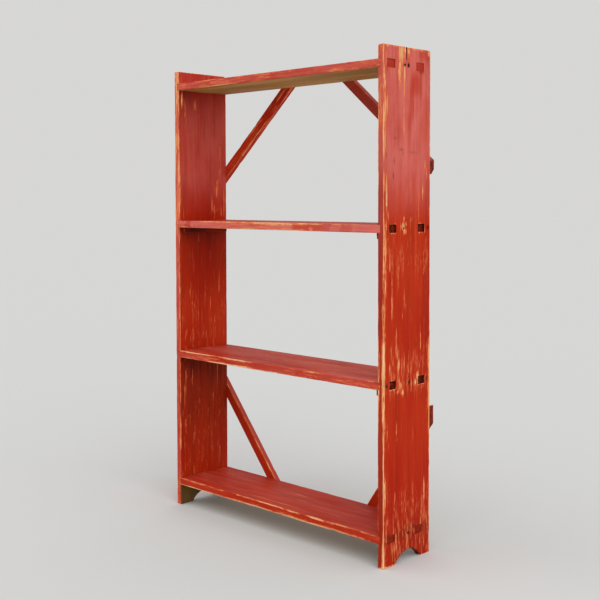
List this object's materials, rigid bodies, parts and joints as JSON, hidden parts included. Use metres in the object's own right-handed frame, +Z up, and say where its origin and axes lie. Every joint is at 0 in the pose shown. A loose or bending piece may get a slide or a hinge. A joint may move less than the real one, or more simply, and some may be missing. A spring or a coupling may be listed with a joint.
{
  "type": "open wooden bookcase",
  "caption": "Tall narrow open bookcase of red painted planks: shelves tenoned through arched-foot sides, with diagonal braces across the back corners.",
  "frame": {"origin": "on the floor under the middle of the whole bookcase, its back braces included", "axes": "+X to the right side as seen from the front, +Y from the open front to the braced back, +Z up"},
  "size_m": [0.88, 0.222, 1.416],
  "materials": {
    "painted_wood": "old red oil paint, worn through to bare wood along the edges",
    "nail_steel": "dark rusted steel"
  },
  "bodies": {
    "root": {"side_left": "painted_wood", "side_right": "painted_wood", "shelf_top": "painted_wood", "shelf_upper": "painted_wood", "shelf_lower": "painted_wood", "shelf_bottom": "painted_wood", "cleat_upper_left": "painted_wood", "cleat_upper_right": "painted_wood", "cleat_lower_left": "painted_wood", "cleat_lower_right": "painted_wood", "brace_top_left": "painted_wood", "brace_top_right": "painted_wood", "brace_bottom_left": "painted_wood", "brace_bottom_right": "painted_wood", "nails_shelf_top": "nail_steel", "nails_shelf_upper": "nail_steel", "nails_shelf_lower": "nail_steel", "nails_shelf_bottom": "nail_steel", "nails_brace_top_left": "nail_steel", "nails_brace_top_right": "nail_steel", "nails_brace_bottom_left": "nail_steel", "nails_brace_bottom_right": "nail_steel", "nails_cleat_upper_left": "nail_steel", "nails_cleat_upper_right": "nail_steel", "nails_cleat_lower_left": "nail_steel", "nails_cleat_lower_right": "nail_steel"}
  },
  "joints": []
}
